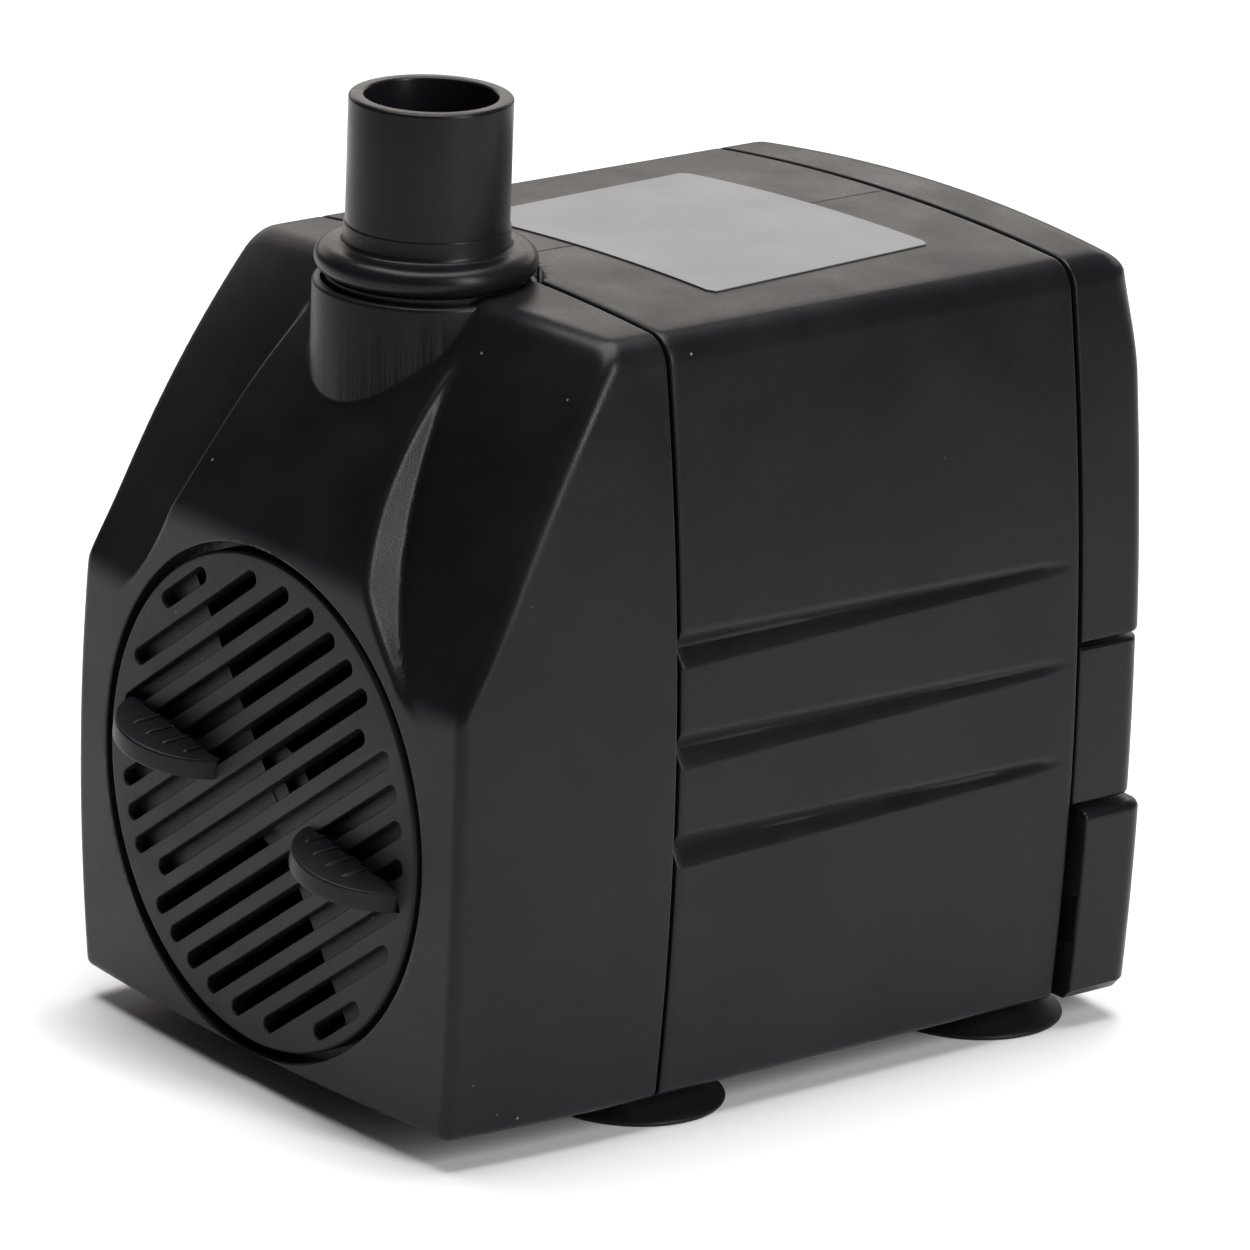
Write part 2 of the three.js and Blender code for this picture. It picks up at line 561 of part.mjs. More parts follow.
// Rounded form of the rear end, drawn in by an inset (or let out at its sides by a negative one).
function rearForm(inset, from) {
  const depthInset = inset < 0 ? inset * SKIRT.rearShare : inset;
  const bulged = (shrink, depth, share = 1) => {
    const middle = CASING.height / 2;
    return section(Math.max(inset, 0) + shrink, Math.min(inset, 0)).map(([x, z]) => {
      const bulge = (REAR.middle - REAR.corner) * (1 - (share * x / CASING.halfWidth) ** 2);
      return [share * x, REAR.corner + bulge - depth - depthInset, middle + share * (z - middle)];
    });
  };
  const r = REAR.edgeRadius;
  const rings = [
    sectionAt(from, Math.max(inset, 0), Math.min(inset, 0)),
    bulged(0, r),
    bulged(0.3 * r, 0.3 * r),
    bulged(0.9 * r, 0),
    bulged(0.9 * r, 0, 0.55),
  ];
  const middle = CASING.height / 2;
  return lofted(rings, [0, from, middle], [0, REAR.middle - depthInset, middle]);
}

const band = (low, high) => block([-50, 0, low], [50, 90, high]);

// One piece of the rear end between two levels: a shell with a floor and a roof, open towards the motor.
function rearPiece(inset, from, low, high) {
  const wall = 1.9;
  const outer = rearForm(inset, from).intersect(band(low, high));
  const inner = rearForm(Math.max(inset, 0) + wall, from - 1).intersect(band(low + wall, high - wall));
  return outer.subtract(inner);
}

// Countersunk seats for the screws that lie inside a piece.
function screwSeats(low, high) {
  const seats = SCREWS.filter(([, z]) => z > low && z < high).map(([x, z]) => ({
    post: rod(SCREW.post, REAR.seam + 0.6, 58, 16, "y").translate(x, 0, z),
    hole: united([rod(SCREW.hole, 40, 70, 12, "y"), rod(SCREW.head, SCREW.headLevel, 70, 16, "y")])
      .translate(x, 0, z),
  }));
  return { posts: united(seats.map((seat) => seat.post)), holes: united(seats.map((seat) => seat.hole)) };
}

function rearCap() {
  const [low, high] = [LEVELS.capBottom, CASING.height + 5];
  const seats = screwSeats(low, high);
  const start = REAR.seam + SEAM_GAP / 2;
  const posts = seats.posts.intersect(rearForm(0.5, start));
  return rearPiece(0, start, low, high).add(posts).subtract(seats.holes);
}

function cordPanel() {
  const start = REAR.seam + SEAM_GAP / 2;
  const piece = rearPiece(0.25, start, LEVELS.panelBottom, LEVELS.panelTop);
  return piece.subtract(rod(GLAND.neck + FIT, 50, 70, 24, "y").translate(0, 0, GLAND.z));
}

function baseSkirt() {
  const seats = screwSeats(-5, LEVELS.skirtTop);
  const start = REAR.seam + 1;
  const posts = seats.posts.intersect(rearForm(0.5, start));
  const shell = rearPiece(-SKIRT.proud, start, 0, LEVELS.skirtTop);
  return shell.add(posts).subtract(seats.holes);
}

function coverScrew([x, z]) {
  const profile = [[0, 44], [1.4, 44], [1.4, 56.9], [2.6, 56.9], [2.6, 58], [2.2, 58.6], [0, 58.6]];
  const [half, reach] = [0.35, 1.7];
  const slot = block([-half, 58, -reach], [half, 60, reach]);
  const crossing = block([-reach, 58, -half], [reach, 60, half]);
  return turned(profile, 16, "y").subtract(slot.add(crossing)).translate(x, 0, z);
}

// Rubber bush round the cord's inlet in the rear panel.
function cordGland() {
  const { neck, flange, bore, outer, inner, flangeEnd } = GLAND;
  const profile = [[bore, inner], [flange, inner], [flange, flangeEnd], [neck, flangeEnd],
    [neck, outer - 0.3], [neck - 0.3, outer], [bore, outer]];
  return turned(profile, 24, "y").translate(0, 0, GLAND.z);
}

// An insulated lead from the coil through the resin, down to the gland.
function lead(side) {
  const points = [
    new THREE.Vector3(side * LEAD.x, 37.6, LEAD.z), new THREE.Vector3(side * LEAD.x, 44, LEAD.z),
    new THREE.Vector3(side * LEAD.x, 50.4, LEAD.z), new THREE.Vector3(side * LEAD.x, 53.6, LEAD.z - 4),
    new THREE.Vector3(side * LEAD.x, 54.4, 48), new THREE.Vector3(side * 2.2, 54.2, 41.6),
  ];
  const round = new THREE.Shape();
  round.absarc(0, 0, LEAD.radius, 0, 2 * Math.PI);
  const path = new THREE.CatmullRomCurve3(points);
  const geometry = new THREE.ExtrudeGeometry(round, {
    steps: 16, curveSegments: 4, bevelEnabled: false, extrudePath: path });
  return toSolid(geometry);
}

// One-shot thermal cut-out that lies against the right-hand winding.
const thermalFuse = () => rod(1.7, 0, 10, 14, "y").translate(27.6, 14, 47);

// ---------------------------------------------------------------- suction feet and label

function suctionFoot([x, y]) {
  const r = CUP.radius;
  const floor = -FLOOR_CLEARANCE;
  const profile = [[0, floor + 1.5], [4.5, floor + 1.1], [r - 1.1, floor], [r, floor], [r, floor + 0.6],
    [r - 1.6, floor + 1.3], [5.2, -0.75], [CUP.stem + 0.6, -FIT], [CUP.stem, -FIT], [CUP.stem, 4.6],
    [0, 4.6]];
  return turned(profile, 22).translate(x, y, 0);
}

// Thin film that follows the crown of the casing's top, laid a few degrees out of square.
function ratingLabel() {
  const { width, depth, centre, turn, thickness, lift } = LABEL;
  const steps = 6;
  const low = [];
  for (let i = 0; i <= steps; i += 1) {
    const x = width * (i / steps - 0.5);
    low.push([x, topAt(x) + lift]);
  }
  const high = low.map(([x, z]) => [x, z + thickness]).reverse();
  const film = sweptY([...low, ...high], -depth / 2, depth / 2);
  return film.rotate(0, 0, turn).translate(centre[0], centre[1], 0);
}

// ---------------------------------------------------------------- the pump

const pump = new THREE.Group();
pump.position.set(0, -(DIAL.face - GRIP.height + GLAND.outer) / 2, FLOOR_CLEARANCE);

function addPiece(name, solid, material) {
  const mesh = new THREE.Mesh(toGeometry(solid), material);
  mesh.name = name;
  pump.add(mesh);
}

addPiece("front_cover", frontCover(), BLACK_SHELL);
addPiece("intake_dial", intakeDial(), BLACK_DIAL);
addPiece("dial_clip", dialClip(), STEEL);
addPiece("pump_chamber", pumpChamber(), BLACK_INNER);
addPiece("chamber_seal", chamberSeal(), RUBBER);
addPiece("outlet_nozzle", outletNozzle(), BLACK_SHELL);
addPiece("nozzle_seal", nozzleSeal(), RUBBER);
addPiece("impeller", impeller(), BOBBIN_PLASTIC);
addPiece("rotor_magnet", rotorMagnet(), FERRITE);
addPiece("rotor_shaft", shaft(), CERAMIC);
addPiece("rear_bushing", rearBushing(), RUBBER);
addPiece("thrust_washer", thrustWasher(), CERAMIC);
addPiece("motor_housing", motorHousing(), BLACK_SHELL);
addPiece("stator_core", statorCore(), CORE_STEEL);
for (const [label, side] of [["left", -1], ["right", 1]]) {
  addPiece(`coil_bobbin_${label}`, coilBobbin(side), BOBBIN_PLASTIC);
  addPiece(`coil_winding_${label}`, coilWinding(side), COPPER);
  addPiece(`coil_lead_${label}`, lead(side), RUBBER);
}
addPiece("thermal_fuse", thermalFuse(), STEEL);
addPiece("potting_resin", pottingResin(), RESIN);
addPiece("rear_cap", rearCap(), BLACK_SHELL);
addPiece("cord_panel", cordPanel(), BLACK_SHELL);
addPiece("base_skirt", baseSkirt(), BLACK_SHELL);
addPiece("cord_gland", cordGland(), RUBBER);
SCREWS.forEach((place, i) => addPiece(`cover_screw_${i + 1}`, coverScrew(place), STEEL));
cupPlaces().forEach((place, i) => addPiece(`suction_foot_${i + 1}`, suctionFoot(place), RUBBER));
addPiece("rating_label", ratingLabel(), LABEL_FILM);

export default pump;
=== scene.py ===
import json
import math

import bmesh
import bpy
import numpy as np
from mathutils import Matrix, Vector


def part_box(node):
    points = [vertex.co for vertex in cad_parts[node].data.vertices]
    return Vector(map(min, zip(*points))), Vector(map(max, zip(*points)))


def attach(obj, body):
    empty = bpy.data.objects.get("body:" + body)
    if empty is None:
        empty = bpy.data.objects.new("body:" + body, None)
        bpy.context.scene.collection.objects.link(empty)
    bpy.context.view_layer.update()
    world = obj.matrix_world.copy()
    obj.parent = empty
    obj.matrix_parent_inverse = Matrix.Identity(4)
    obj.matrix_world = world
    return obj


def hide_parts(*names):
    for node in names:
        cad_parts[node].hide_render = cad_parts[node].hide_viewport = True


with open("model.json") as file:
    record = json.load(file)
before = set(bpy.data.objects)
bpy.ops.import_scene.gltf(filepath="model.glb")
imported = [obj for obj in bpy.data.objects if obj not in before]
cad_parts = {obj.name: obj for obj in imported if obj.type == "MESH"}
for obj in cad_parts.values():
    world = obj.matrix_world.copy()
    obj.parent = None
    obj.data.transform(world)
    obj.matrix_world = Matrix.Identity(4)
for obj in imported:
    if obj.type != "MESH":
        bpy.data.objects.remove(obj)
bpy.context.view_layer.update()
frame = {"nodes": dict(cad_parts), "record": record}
NODES = frame["nodes"]

# Lengths below are millimetres in the pump's own frame: the seam between cover and housing is y = 0, the
# underside of the casing is z = 0 and the intake dial faces -Y. ORIGIN takes them to the CAD model's frame.
MM = 0.001
SEAM = 0.2                                   # each side of the seam stands this far back from it
HOUSING_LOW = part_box("motor_housing")[0]
ORIGIN = np.array([0.0, HOUSING_LOW[1] / MM - SEAM, HOUSING_LOW[2] / MM])
FLOOR = -ORIGIN[2]

DIAL_Z = 26.1
DIAL_FACE = -25.7
OUTLET_Y = -7.3
REAR_SEAM = 51.1
SCREWS = [(-25, 66), (25, 66), (-26.3, 8), (26.3, 8)]
CUPS = [(-22.4, 4.2), (-22.4, 48.2), (22.4, 4.2), (22.4, 48.2)]
OUTLET = (0, OUTLET_Y, 0)
RAY_START_Z = 38.5                           # level inside the casing from which surfaces are sought
CLEAR = 0.0001                               # keeps the start of the rays just inside a flat end


# ------------------------------------------------------------------ forms: negative inside, in millimetres

def smooth_max(a, b, radius):
    """Overlap of two forms, its edge rounded to the radius."""
    rounded = np.hypot(np.maximum(a + radius, 0), np.maximum(b + radius, 0))
    return np.minimum(np.maximum(a, b), -radius) + rounded


def smooth_min(a, b, radius):
    """Sum of two forms, its inner corner filled to the radius."""
    return -smooth_max(-a, -b, radius)


def step(value, start, end):
    """Smooth step from 0 at start to 1 at end."""
    t = np.clip((value - start) / (end - start), 0, 1)
    return t * t * (3 - 2 * t)


SIDE_HALF = 32.75                            # half the width, at the level where the casing is widest
WIDEST = 27
BARREL = 0.00185                             # the sides draw in by this times the squared height from there
NARROWING = 1.6                              # each side draws in by this at the front
COVER_DEPTH = 25.1
TOP_LEVEL = 77.1
TOP_TILT = 0.018
TOP_CROWN = 0.0018
TOP_RADIUS = 2.4                             # between the sides and the top
SHOULDER_CENTRE = (92.51, -1.29)             # y and z of the arc that both shoulders follow
SHOULDER_ARC = 125.04
SHOULDER_SPAN = 29                           # half the width over which the shoulders bow
CREST_CENTRE = (23.5, 32.56)                 # y and z of the arc that the ridge's crest follows
CREST_ARC = 53.02
CREST_SPAN = 15


def side_form(x, y, z):
    """The two barrelled sides, which draw in towards the front."""
    narrowed = NARROWING * (np.minimum(y, 0) / COVER_DEPTH) ** 2
    return np.abs(x) - SIDE_HALF + BARREL * (z - WIDEST) ** 2 + narrowed


def top_form(x, y, z):
    """The crowned top, which falls a little more to the left."""
    return z - TOP_LEVEL - TOP_TILT * x + TOP_CROWN * x * x


def ridge_half_width(z):
    """Half the ridge's width, which widens towards its foot."""
    return 11.2 + 8.9 * np.exp(-(z - 45) / 11)


def face_y(x, z):
    """Depth of the cover's face, which bows back a little towards its corners."""
    return -26.2 + 0.8 * (x / 31) ** 2 * (1 + 0.0012 * (z - WIDEST) ** 2)


def front_form(x, y, z):
    """Everything that looks forwards: the face, the two shoulders and the ridge between them."""
    face = face_y(x, z) - y
    across = (x / SHOULDER_SPAN) ** 2
    bulge = (1.0 + 0.105 * (z - 42.5)) * (1 - across)
    foot = 0.85 * across * np.exp(-((z - 42) / 5) ** 2)
    shoulder = np.hypot(y + bulge + foot - SHOULDER_CENTRE[0], z - SHOULDER_CENTRE[1]) - SHOULDER_ARC
    bow = 0.5 * (1 - (x / CREST_SPAN) ** 2)
    crest = np.hypot(y + bow - CREST_CENTRE[0], z - CREST_CENTRE[1]) - CREST_ARC
    flank = np.abs(x) - ridge_half_width(z) + 0.2 * crest
    ridge = smooth_max(crest, flank, 0.45)
    return smooth_max(face, smooth_min(shoulder, ridge, 0.25), 0.5)


def boss_form(x, y, z):
    """The outlet's boss, a little thinner than the turned one that front_cover adds over it."""
    return smooth_max(np.hypot(x, y - OUTLET_Y) - 11.04, z - 76.2, 0.8)


def cover_form(x, y, z):
    """The whole cover: sides, top, front, underside, boss and the seam's plane."""
    form = smooth_max(side_form(x, y, z), top_form(x, y, z), TOP_RADIUS)
    form = smooth_max(form, front_form(x, y, z), 1.0)
    form = smooth_max(form, -z, 1.0)
    form = smooth_min(form, boss_form(x, y, z), 0.25)
    return smooth_max(form, y + SEAM, 0.3)


FLUTES = [46.1, 36.0, 25.9]
FLUTE_END = 49
FLUTE_HALF = 1.75                            # half the width of a flute at the seam
FLUTE_DEPTH = 1.15


def flute_depth(y, z):
    """Grooves that are deepest at the front seam, rise a little backwards and end in a short round nose."""
    share = np.clip(y / FLUTE_END, 0, 1)
    nose = np.sqrt(np.clip((FLUTE_END - y) / 2.5, 0, 1))
    depth = np.zeros_like(y)
    for level in FLUTES:
        half = FLUTE_HALF * (1 - 0.62 * share) * nose + 0.01
        across = np.clip(1 - np.abs(z - level - 0.35 * share) / half, 0, 1)
        depth = np.maximum(depth, FLUTE_DEPTH * (1 - 0.68 * share) * nose * across)
    return depth


def housing_form(x, y, z):
    """The motor housing, with its flutes and a fine groove along the middle of its top."""
    side = side_form(x, y, z) + flute_depth(y, z)
    groove = 0.05 * np.exp(-(x / 0.12) ** 2)
    form = smooth_max(side, top_form(x, y, z) + groove, TOP_RADIUS)
    form = smooth_max(form, -z, 1.0)
    form = smooth_max(form, SEAM - y, 0.3)
    return smooth_max(form, y - REAR_SEAM + SEAM, 0.3)


def rear_form(low, high, proud, start, rim):
    """One piece of the rear end between two levels, so far proud of the casing's sides, from y = start."""
    def form(x, y, z):
        side = side_form(x, y, z) - proud
        rear = y - 61.3 - 0.4 * proud + 1.5 * (x / 32) ** 2
        edge = 2.0 + 2.6 * step(z, 64, 76)
        whole = smooth_max(smooth_max(side, top_form(x, y, z), TOP_RADIUS), rear, edge)
        whole = smooth_max(whole, -z, 1.0)
        whole = smooth_max(whole, np.maximum(low - z, z - high), rim)
        return smooth_max(whole, start - y, 0.3)
    return form


# ------------------------------------------------------------------ meshes

def to_metres(points):
    return (np.asarray(points, dtype=float) + ORIGIN) * MM


def new_object(name, points, faces):
    mesh = bpy.data.meshes.new(name)
    mesh.from_pydata(to_metres(points).tolist(), [], [list(map(int, f)) for f in faces])
    mesh.validate()
    obj = bpy.data.objects.new(name, mesh)
    bpy.context.scene.collection.objects.link(obj)
    return obj


def spaced(*runs):
    """Levels in ascending order from (start, end, spacing) runs that join up."""
    levels = [runs[0][0]]
    for start, end, spacing in runs:
        count = max(1, round((end - start) / spacing))
        levels += [start + (end - start) * (i + 1) / count for i in range(count)]
    return np.array(levels)


HALVINGS = 34                                # steps that close in on a surface along its rays
RIM_SHARE = 0.985                            # size of the ring just inside a sleeve's flat end


def on_surface(form, start, rays, level):
    """Points at which rays from a start inside a form reach its level."""
    near = np.zeros(len(rays))
    far = np.ones(len(rays))
    for _ in range(HALVINGS):
        middle = (near + far) / 2
        spot = start + rays * middle[:, None]
        inside = form(spot[:, 0], spot[:, 1], spot[:, 2]) < level
        near = np.where(inside, middle, near)
        far = np.where(inside, far, middle)
    return start + rays * near[:, None]


def cast(name, form, centre, xs, ys, zs, level=0.0, tail=0.0):
    """Closed surface where the form has a level, met by rays from a point in its flat end.

    The rays pass through a lattice on the five other sides of a box: ys[0] is the flat end. A tail
    lengthens that end by so much along Y.
    """
    counts = (len(xs), len(ys), len(zs))
    index = {}
    lattice = []

    def corner(i, j, k):
        key = (i, j, k)
        if key not in index:
            index[key] = len(lattice)
            lattice.append((xs[i], ys[j], zs[k]))
        return index[key]

    last = [c - 1 for c in counts]
    faces = []

    def sheet(count_a, count_b, place):
        for a in range(count_a):
            for b in range(count_b):
                faces.append([place(a, b), place(a + 1, b), place(a + 1, b + 1), place(a, b + 1)])

    sheet(last[0], last[2], lambda a, b: corner(a, last[1], b))
    sheet(last[1], last[2], lambda a, b: corner(last[0], a, b))
    sheet(last[1], last[2], lambda a, b: corner(0, a, b))
    sheet(last[0], last[1], lambda a, b: corner(a, b, last[2]))
    sheet(last[0], last[1], lambda a, b: corner(a, b, 0))
    lattice = np.array(lattice)
    centre = np.array(centre, dtype=float)
    points = on_surface(form, centre, lattice - centre, level)
    # Rim of the flat end, in order, and its lid.
    ring = [index[(i, 0, 0)] for i in range(counts[0])]
    ring += [index[(last[0], 0, k)] for k in range(1, counts[2])]
    ring += [index[(i, 0, last[2])] for i in range(last[0] - 1, -1, -1)]
    ring += [index[(0, 0, k)] for k in range(last[2] - 1, 0, -1)]
    end = points[ring].copy()
    if tail:
        end[:, 1] += tail
        base = len(points)
        points = np.vstack([points, end])
        for n in range(len(ring)):
            m = (n + 1) % len(ring)
            faces.append([ring[n], ring[m], base + m, base + n])
        ring = [base + n for n in range(len(ring))]
    hub = len(points)
    points = np.vstack([points, [centre[0], end[0, 1], centre[2]]])
    for n in range(len(ring)):
        m = (n + 1) % len(ring)
        faces.append([ring[n], ring[m], hub])
    obj = new_object(name, points, faces)
    outward(obj)
    return obj


def sleeve(name, form, middle, xs, ys, zs, level=0.0):
    """Closed surface along Y where the form has a level, one ring of rays at each station."""
    outline = [(x, zs[0]) for x in xs] + [(xs[-1], z) for z in zs[1:]]
    outline += [(x, zs[-1]) for x in xs[-2::-1]] + [(xs[0], z) for z in zs[-2:0:-1]]
    outline = np.array(outline)
    count = len(outline)
    points = []
    for y in ys:
        start = np.array([middle[0], y, middle[1]])
        targets = np.column_stack([outline[:, 0], np.full(count, y), outline[:, 1]])
        points.append(on_surface(form, start, targets - start, level))
    # A narrow rim keeps the shading of each flat end flat.
    hubs = [np.array([middle[0], y, middle[1]]) for y in (ys[0], ys[-1])]
    rims = [hub + (ring - hub) * RIM_SHARE for hub, ring in zip(hubs, (points[0], points[-1]))]
    points = [rims[0]] + points + [rims[1]]
    rows = len(points)
    stacked = np.vstack(points + [hubs])
    faces = []
    for r in range(rows - 1):
        for n in range(count):
            m = (n + 1) % count
            faces.append([r * count + n, r * count + m, (r + 1) * count + m, (r + 1) * count + n])
    first = len(stacked) - 2
    final = len(stacked) - 1
    for n in range(count):
        m = (n + 1) % count
        faces.append([n, first, m])
        faces.append([(rows - 1) * count + n, (rows - 1) * count + m, final])
    return new_object(name, stacked, [f[::-1] for f in faces])


def stack(name, rows):
    """Closed mesh from rows of equally many points, each joined to the next, with a face at each end."""
    count = len(rows[0])
    points = [point for row in rows for point in row]
    faces = [list(range(count)), list(range(len(points) - count, len(points)))[::-1]]
    for r in range(len(rows) - 1):
        for n in range(count):
            m = (n + 1) % count
            faces.append([r * count + n, (r + 1) * count + n, (r + 1) * count + m, r * count + m])
    obj = new_object(name, points, faces)
    outward(obj)
    return obj


def lathe(name, profile, segments, centre, axis="z"):
    """Closed turned piece from [radius, height] points, turned about an axis through the centre."""
    points = []
    rings = []
    for radius, height in profile:
        if radius < 1e-6:
            rings.append([len(points)])
            points.append((0.0, 0.0, height))
            continue
        rings.append(list(range(len(points), len(points) + segments)))
        for s in range(segments):
            turn = 2 * math.pi * s / segments
            points.append((radius * math.cos(turn), radius * math.sin(turn), height))
    faces = []
    for a, b in zip(rings, rings[1:] + rings[:1]):
        if len(a) == 1 and len(b) == 1:
            continue
        for s in range(segments):
            t = (s + 1) % segments
            if len(a) == 1:
                faces.append([a[0], b[t], b[s]])
            elif len(b) == 1:
                faces.append([a[s], a[t], b[0]])
            else:
                faces.append([a[s], a[t], b[t], b[s]])
    points = np.array(points)
    if axis == "y":
        points = points[:, [0, 2, 1]] * np.array([1, 1, -1])
    obj = new_object(name, points + np.array(centre, dtype=float), faces)
    outward(obj)
    return obj


def outward(obj):
    """Turns every face of a closed mesh outwards."""
    mesh = bmesh.new()
    mesh.from_mesh(obj.data)
    bmesh.ops.recalc_face_normals(mesh, faces=mesh.faces)
    mesh.to_mesh(obj.data)
    mesh.free()


def arc(centre, radius, start, end, count):
    """Points on an arc of a profile, angles in degrees."""
    turns = np.radians(np.linspace(start, end, count))
    return [(centre[0] + radius * math.cos(t), centre[1] + radius * math.sin(t)) for t in turns]


def combine(target, tool, operation):
    """Adds, cuts or keeps the overlap of a closed mesh, then removes the tool."""
    modifier = target.modifiers.new("combine", "BOOLEAN")
    modifier.operation = operation
    modifier.solver = "MANIFOLD"
    modifier.object = tool
    graph = bpy.context.evaluated_depsgraph_get()
    result = bpy.data.meshes.new_from_object(target.evaluated_get(graph))
    target.modifiers.remove(modifier)
    old = target.data
    target.data = result
    bpy.data.meshes.remove(old)
    bpy.data.objects.remove(tool)
    return target


def inner_part(node, keep):
    """Copy of a CAD node, kept only where it lies within a form."""
    copy = bpy.data.objects.new(node + "_inner", NODES[node].data.copy())
    bpy.context.scene.collection.objects.link(copy)
    weld = bmesh.new()
    weld.from_mesh(copy.data)
    bmesh.ops.remove_doubles(weld, verts=weld.verts, dist=1e-6)
    weld.to_mesh(copy.data)
    weld.free()
    return combine(copy, keep, "INTERSECT")


def finish_piece(obj, name, body, nodes, material, angle=24):
    """Names a piece, gives it smooth shading, a material and a body, and hides the CAD nodes it stands for.
    """
    obj.name = name
    obj.data.name = name
    obj.data.materials.clear()
    obj.data.materials.append(material)
    for polygon in obj.data.polygons:
        polygon.material_index = 0
    obj.data.shade_smooth()
    obj.data.set_sharp_from_angle(angle=math.radians(angle))
    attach(obj, body)
    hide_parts(*nodes)


# ------------------------------------------------------------------ materials

DUST = (0.30, 0.29, 0.28)
GRAIN_HEIGHT = 0.00003                       # in metres, as shader distances are
PLASTIC_IOR = 1.27


def moulded(name, color, roughness, grain=0.5, grain_scale=5200, specks=0.5, mottle=0.25):
    """Moulded black plastic: spark-eroded grain, uneven gloss, faint mottling and a few specks of dust."""
    material = bpy.data.materials.new(name)
    material.use_nodes = True
    tree = material.node_tree
    shader = tree.nodes["Principled BSDF"]
    place = tree.nodes.new("ShaderNodeTexCoord").outputs["Object"]

    def noise(scale, detail, rough=0.5):
        node = tree.nodes.new("ShaderNodeTexNoise")
        node.inputs["Scale"].default_value = scale
        node.inputs["Detail"].default_value = detail
        node.inputs["Roughness"].default_value = rough
        tree.links.new(place, node.inputs["Vector"])
        return node.outputs["Fac"]

    def ramp(source, low, high, to_low, to_high):
        node = tree.nodes.new("ShaderNodeMapRange")
        node.inputs["From Min"].default_value = low
        node.inputs["From Max"].default_value = high
        node.inputs["To Min"].default_value = to_low
        node.inputs["To Max"].default_value = to_high
        tree.links.new(source, node.inputs["Value"])
        return node.outputs["Result"]

    def mixed(factor, first, second):
        node = tree.nodes.new("ShaderNodeMix")
        node.data_type = "RGBA"
        tree.links.new(factor, node.inputs["Factor"])
        for value, spot in ((first, 6), (second, 7)):
            if isinstance(value, tuple):
                node.inputs[spot].default_value = (*value, 1)
            else:
                tree.links.new(value, node.inputs[spot])
        return node.outputs[2]

    lighter = tuple(min(1, c * (1 + 2.2 * mottle)) for c in color)
    darker = tuple(c * (1 - mottle) for c in color)
    cloud = ramp(noise(55, 5, 0.6), 0.3, 0.7, 0, 1)
    base = mixed(cloud, darker, lighter)
    # A few specks of dust, each a small bright spot near the middle of a random cell.
    cells = tree.nodes.new("ShaderNodeTexVoronoi")
    cells.inputs["Scale"].default_value = 420
    tree.links.new(place, cells.inputs["Vector"])
    spot = ramp(cells.outputs["Distance"], 0.045, 0.075, 1, 0)
    pick = tree.nodes.new("ShaderNodeSeparateColor")
    tree.links.new(cells.outputs["Color"], pick.inputs["Color"])
    chosen = ramp(pick.outputs["Red"], 0.90, 0.91, 0, specks)
    amount = tree.nodes.new("ShaderNodeMath")
    amount.operation = "MULTIPLY"
    tree.links.new(spot, amount.inputs[0])
    tree.links.new(chosen, amount.inputs[1])
    tree.links.new(mixed(amount.outputs[0], base, DUST), shader.inputs["Base Color"])
    fine = noise(grain_scale, 2, 0.6)
    patches = noise(140, 3, 0.5)
    rough = tree.nodes.new("ShaderNodeMath")
    rough.operation = "ADD"
    tree.links.new(ramp(patches, 0.3, 0.7, roughness - 0.05, roughness + 0.05), rough.inputs[0])
    tree.links.new(ramp(fine, 0.3, 0.7, -0.04, 0.04), rough.inputs[1])
    tree.links.new(rough.outputs[0], shader.inputs["Roughness"])
    bump = tree.nodes.new("ShaderNodeBump")
    bump.inputs["Strength"].default_value = grain
    bump.inputs["Distance"].default_value = GRAIN_HEIGHT
    tree.links.new(fine, bump.inputs["Height"])
    tree.links.new(bump.outputs["Normal"], shader.inputs["Normal"])
    shader.inputs["IOR"].default_value = PLASTIC_IOR
    return material


SHELL = moulded("black_shell_plastic", (0.0055, 0.0055, 0.0070), 0.33)
SMOOTH = moulded("nozzle_plastic", (0.0055, 0.0055, 0.0065), 0.30, grain=0.2)
DIAL = moulded("dial_plastic", (0.0075, 0.0075, 0.0090), 0.42, grain=0.5)
RUBBER = moulded("foot_rubber_black", (0.0090, 0.0090, 0.0095), 0.45, grain=0.3)
INNER = moulded("inner_plastic_black", (0.012, 0.012, 0.013), 0.45)
LABEL = moulded("label_film_white", (0.19, 0.187, 0.193), 0.45, grain=0.05, specks=0, mottle=0.03)
STEEL = moulded("screw_steel_bright", (0.55, 0.56, 0.57), 0.3, grain=0.2, specks=0, mottle=0.1)
STEEL.node_tree.nodes["Principled BSDF"].inputs["Metallic"].default_value = 1.0

# ------------------------------------------------------------------ camera

AZIMUTH = math.radians(50.772)
ELEVATION = math.radians(17.922)
ROLL = math.radians(-2.232)
DISTANCE = 907.85
AIM = (16.415, 37.899)                       # point looked at, to the right and up in the picture's plane
FOCAL = 261.87


def direction_to(azimuth, elevation):
    """Unit vector from the pump; azimuth 0 is in front of the dial and a quarter turn is on its right."""
    level = math.cos(elevation)
    return Vector((math.sin(azimuth) * level, -math.cos(azimuth) * level, math.sin(elevation)))


